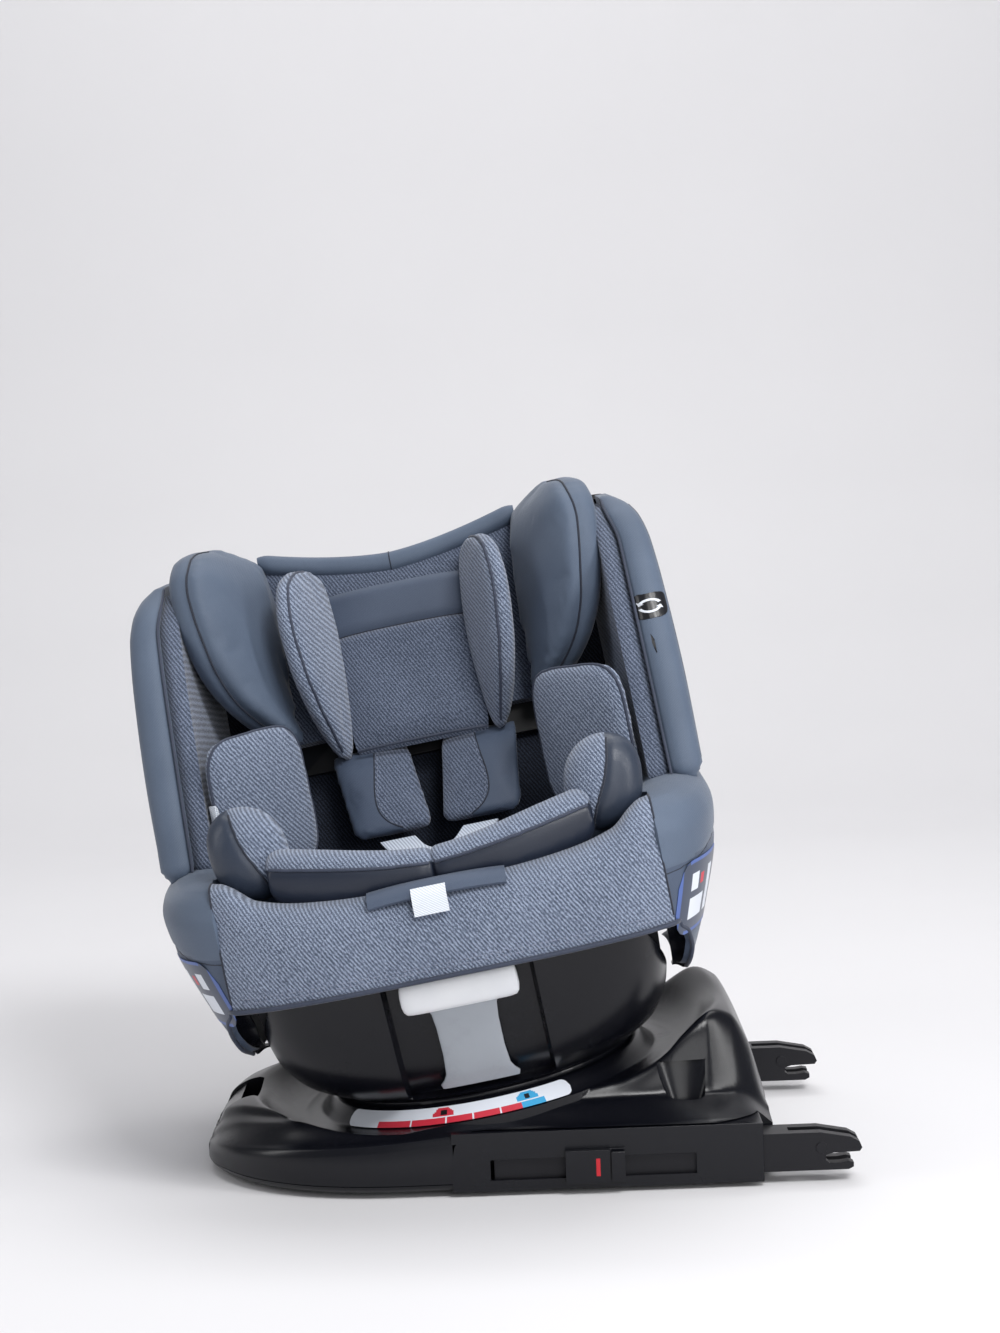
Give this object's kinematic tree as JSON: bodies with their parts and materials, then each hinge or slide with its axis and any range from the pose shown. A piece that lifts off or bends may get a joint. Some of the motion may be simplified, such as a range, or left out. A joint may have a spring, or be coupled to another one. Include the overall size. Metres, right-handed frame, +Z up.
{
  "type": "convertible car seat",
  "caption": "Convertible child car seat: padded bucket with side wings and head hugger that reclines on a tilted turntable, on a low base with rigid anchor arms",
  "frame": {"origin": "on the ground plane under the middle of the turntable, where the swivel axis crosses the base", "axes": "+Z up; +X along the base towards the anchor arms; the seat faces -Y in the stored pose; the swivel axis leans 9.5 degrees towards -X"},
  "size_m": [0.5832, 0.4352, 0.5507],
  "materials": {
    "smooth_fabric": "soft woven, slight sheen",
    "twill_fabric": "melange twill",
    "dark_fabric": "matte",
    "webbing": "woven strap",
    "black_plastic": "satin black moulding",
    "grey_plastic": "light grey moulding",
    "red_plastic": "red moulding",
    "steel": "bright",
    "black_steel": "black coat",
    "rubber": "matte",
    "label_film": "printed film"
  },
  "bodies": {
    "base": {"base_housing": "black_plastic", "base_bottom_plate": "black_plastic", "grip_strip_near": "rubber", "grip_strip_middle": "rubber", "grip_strip_far": "rubber", "rail_cover_near": "black_plastic", "rail_cover_far": "black_plastic", "housing_screw_near": "steel", "housing_screw_far": "steel", "swivel_bolt": "steel", "recline_scale": "label_film"},
    "anchor_carriage": {"anchor_arm_near": "black_steel", "anchor_arm_far": "black_steel", "arm_crossbar": "steel", "arm_slider_near": "black_plastic", "arm_slider_far": "black_plastic"},
    "hook_near": {"latch_hook_near": "steel"},
    "hook_far": {"latch_hook_far": "steel"},
    "button_near": {"release_button_near": "black_plastic"},
    "button_far": {"release_button_far": "black_plastic"},
    "swivel_release": {"swivel_release_paddle": "black_plastic"},
    "turntable_body": {"turntable": "black_plastic", "recline_cradle": "black_plastic"},
    "recline_lever": {"recline_handle": "grey_plastic"},
    "seat": {"seat_shell": "black_plastic", "seat_cover_right": "smooth_fabric", "seat_cover_left": "smooth_fabric", "seat_cover_front": "twill_fabric", "back_shell": "black_plastic", "backrest_wing_left": "smooth_fabric", "backrest_wing_right": "smooth_fabric", "back_pad": "dark_fabric", "seat_pad": "dark_fabric", "insert_seat_pad": "twill_fabric", "insert_front_left": "smooth_fabric", "insert_front_right": "smooth_fabric", "insert_corner_left": "smooth_fabric", "insert_corner_right": "smooth_fabric", "torso_pad_left": "twill_fabric", "torso_pad_right": "twill_fabric", "shoulder_strap_left": "webbing", "shoulder_strap_right": "webbing", "buckle_housing": "black_plastic", "buckle_tongue": "steel", "crotch_strap": "webbing", "adjuster_flap": "smooth_fabric", "adjuster_strap": "webbing"},
    "buckle_release": {"buckle_button": "red_plastic"},
    "strap_adjuster": {"adjuster_button": "steel"},
    "headrest": {"headrest_shell": "black_plastic", "headrest_carrier": "steel", "headrest_pad": "twill_fabric", "headrest_bolster_left": "smooth_fabric", "headrest_bolster_right": "smooth_fabric", "hugger_pad": "twill_fabric", "hugger_ear_left": "twill_fabric", "hugger_ear_right": "twill_fabric", "shoulder_pad_left": "twill_fabric", "shoulder_pad_right": "twill_fabric"},
    "headrest_release": {"headrest_release_handle": "grey_plastic"}
  },
  "joints": [
    {"name": "anchor_arm_slide", "type": "slide", "parent": "base", "child": "anchor_carriage", "axis": [1, 0, 0], "range_m": [-0.055, 0.052]},
    {"name": "near_hook_pivot", "type": "hinge", "parent": "anchor_carriage", "child": "hook_near", "pos_m": [0.263, -0.14, 0.027], "axis": [0, -1, 0], "range_deg": [0, 35], "stiffness_Nm_per_rad": 0.05, "springref_deg": -34.38},
    {"name": "far_hook_pivot", "type": "hinge", "parent": "anchor_carriage", "child": "hook_far", "pos_m": [0.263, 0.14, 0.027], "axis": [0, -1, 0], "range_deg": [0, 35], "stiffness_Nm_per_rad": 0.05, "springref_deg": -34.38},
    {"name": "near_button_press", "type": "slide", "parent": "anchor_carriage", "child": "button_near", "axis": [0, 1, 0], "range_m": [0, 0.0025], "stiffness_N_per_m": 200, "springref_m": -0.002},
    {"name": "far_button_press", "type": "slide", "parent": "anchor_carriage", "child": "button_far", "axis": [0, -1, 0], "range_m": [0, 0.0025], "stiffness_N_per_m": 200, "springref_m": -0.002},
    {"name": "swivel_release_press", "type": "hinge", "parent": "base", "child": "swivel_release", "pos_m": [-0.208, 0, 0.048], "axis": [0, -1, 0], "range_deg": [0, 10], "stiffness_Nm_per_rad": 0.6, "springref_deg": -11.46},
    {"name": "seat_swivel", "type": "hinge", "parent": "base", "child": "turntable_body", "pos_m": [0, 0, 0.07], "axis": [-0.165, 0, 0.9863], "continuous": true},
    {"name": "recline_release", "type": "hinge", "parent": "turntable_body", "child": "recline_lever", "pos_m": [-0.00231, -0.126, 0.08381], "axis": [0.9863, 0, 0.165], "range_deg": [0, 8], "stiffness_Nm_per_rad": 1.5, "springref_deg": -17.19},
    {"name": "seat_recline", "type": "hinge", "parent": "turntable_body", "child": "seat", "pos_m": [-0.04324, -0.015, 0.32841], "axis": [-0.9863, 0, -0.165], "range_deg": [0, 20]},
    {"name": "buckle_press", "type": "slide", "parent": "seat", "child": "buckle_release", "axis": [0.165, 0, -0.9863], "range_m": [0, 0.003], "stiffness_N_per_m": 300, "springref_m": -0.002},
    {"name": "strap_adjuster_press", "type": "slide", "parent": "seat", "child": "strap_adjuster", "axis": [0.165, 0, -0.9863], "range_m": [0, 0.0025], "stiffness_N_per_m": 300, "springref_m": -0.002},
    {"name": "headrest_height", "type": "slide", "parent": "seat", "child": "headrest", "axis": [-0.153, 0.3746, 0.9145], "range_m": [0, 0.14]},
    {"name": "headrest_release_pull", "type": "slide", "parent": "headrest", "child": "headrest_release", "axis": [-0.153, 0.3746, 0.9145], "range_m": [0, 0.008], "stiffness_N_per_m": 300, "springref_m": -0.004}
  ]
}
